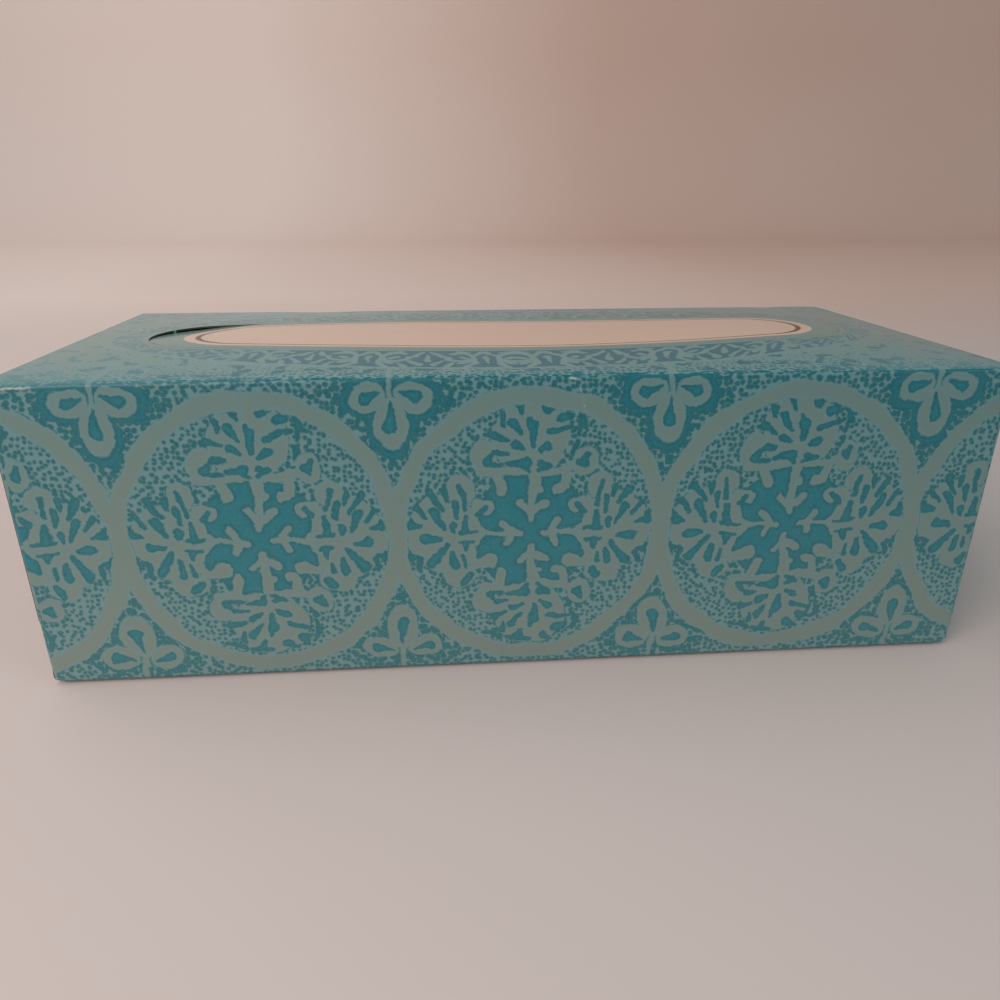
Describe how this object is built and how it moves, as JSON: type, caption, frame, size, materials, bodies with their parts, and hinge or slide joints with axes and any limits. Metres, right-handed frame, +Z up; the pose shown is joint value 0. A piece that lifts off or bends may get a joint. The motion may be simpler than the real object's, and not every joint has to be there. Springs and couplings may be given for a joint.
{
  "type": "tissue box",
  "caption": "Flat printed paperboard tissue carton with glued end flaps and a perforated oval tear-out on top, one end pressed in, holding an interfolded stack of tissues.",
  "frame": {"origin": "centre of the carton's bottom panel, on the surface that it stands on", "axes": "+X along the carton's length, +Y from the printed front to the seamed back, +Z up through the tear-out panel"},
  "size_m": [0.248, 0.112, 0.08],
  "materials": {
    "printed_board": "satin",
    "tissue": "matte"
  },
  "bodies": {
    "root": {"carton": "printed_board", "tissue_stack": "tissue"}
  },
  "joints": []
}
